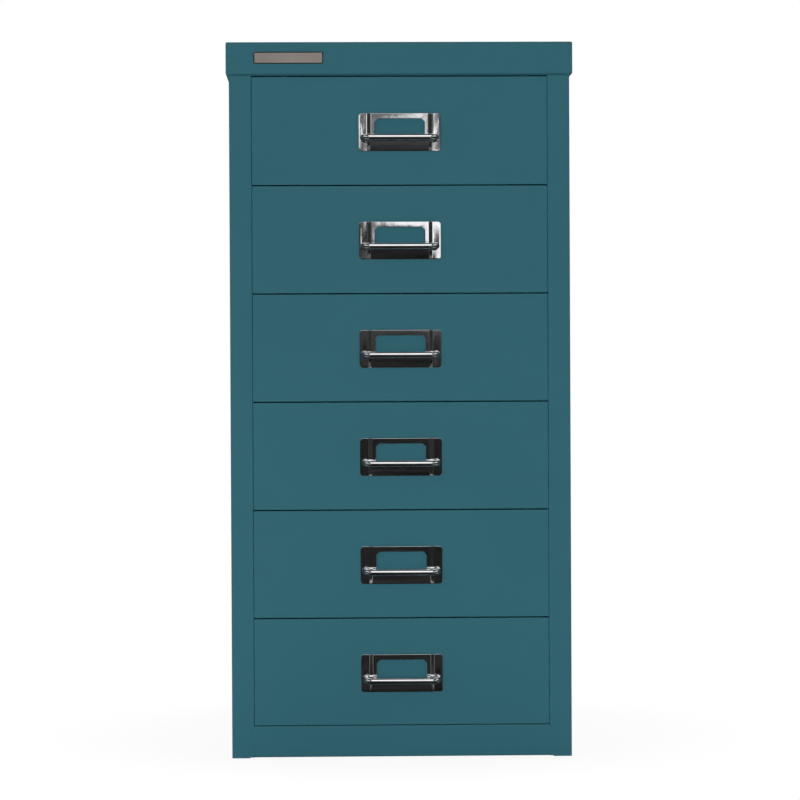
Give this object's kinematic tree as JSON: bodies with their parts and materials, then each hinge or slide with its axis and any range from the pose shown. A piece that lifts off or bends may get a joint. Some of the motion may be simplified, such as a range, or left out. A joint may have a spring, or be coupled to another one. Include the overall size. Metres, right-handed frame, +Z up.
{
  "type": "drawer cabinet",
  "caption": "Desktop drawer cabinet in folded sheet steel: narrow case with a cap lid, shallow sliding drawers, and chromed label frames with bent rod pulls.",
  "frame": {"origin": "middle of the footprint at ground level, with the pulls counted in the depth", "axes": "+Z up, -Y out of the drawer fronts, +X to the right seen from the front"},
  "size_m": [0.285, 0.395, 0.59],
  "materials": {
    "paint": "satin powder coat",
    "chrome": "polished nickel chrome",
    "rubber": "matte"
  },
  "bodies": {
    "case": {"side_panel_left": "paint", "side_panel_right": "paint", "back_panel": "paint", "base_panel": "paint", "top_panel": "paint", "lid": "paint", "lid_screws": "paint", "foot_front_left": "rubber", "foot_front_right": "rubber", "foot_rear_left": "rubber", "foot_rear_right": "rubber", "runner_left_1": "paint", "runner_left_2": "paint", "runner_left_3": "paint", "runner_left_4": "paint", "runner_left_5": "paint", "runner_left_6": "paint", "runner_right_1": "paint", "runner_right_2": "paint", "runner_right_3": "paint", "runner_right_4": "paint", "runner_right_5": "paint", "runner_right_6": "paint"},
    "drawer_1": {"tray_1": "paint", "drawer_front_1": "paint", "label_frame_1": "chrome", "pull_1": "chrome"},
    "drawer_2": {"tray_2": "paint", "drawer_front_2": "paint", "label_frame_2": "chrome", "pull_2": "chrome"},
    "drawer_3": {"tray_3": "paint", "drawer_front_3": "paint", "label_frame_3": "chrome", "pull_3": "chrome"},
    "drawer_4": {"tray_4": "paint", "drawer_front_4": "paint", "label_frame_4": "chrome", "pull_4": "chrome"},
    "drawer_5": {"tray_5": "paint", "drawer_front_5": "paint", "label_frame_5": "chrome", "pull_5": "chrome"},
    "drawer_6": {"tray_6": "paint", "drawer_front_6": "paint", "label_frame_6": "chrome", "pull_6": "chrome"}
  },
  "joints": [
    {"name": "drawer_1_slide", "type": "slide", "parent": "case", "child": "drawer_1", "axis": [0, -1, 0], "range_m": [0, 0.28]},
    {"name": "drawer_2_slide", "type": "slide", "parent": "case", "child": "drawer_2", "axis": [0, -1, 0], "range_m": [0, 0.28]},
    {"name": "drawer_3_slide", "type": "slide", "parent": "case", "child": "drawer_3", "axis": [0, -1, 0], "range_m": [0, 0.28]},
    {"name": "drawer_4_slide", "type": "slide", "parent": "case", "child": "drawer_4", "axis": [0, -1, 0], "range_m": [0, 0.28]},
    {"name": "drawer_5_slide", "type": "slide", "parent": "case", "child": "drawer_5", "axis": [0, -1, 0], "range_m": [0, 0.28]},
    {"name": "drawer_6_slide", "type": "slide", "parent": "case", "child": "drawer_6", "axis": [0, -1, 0], "range_m": [0, 0.28]}
  ]
}
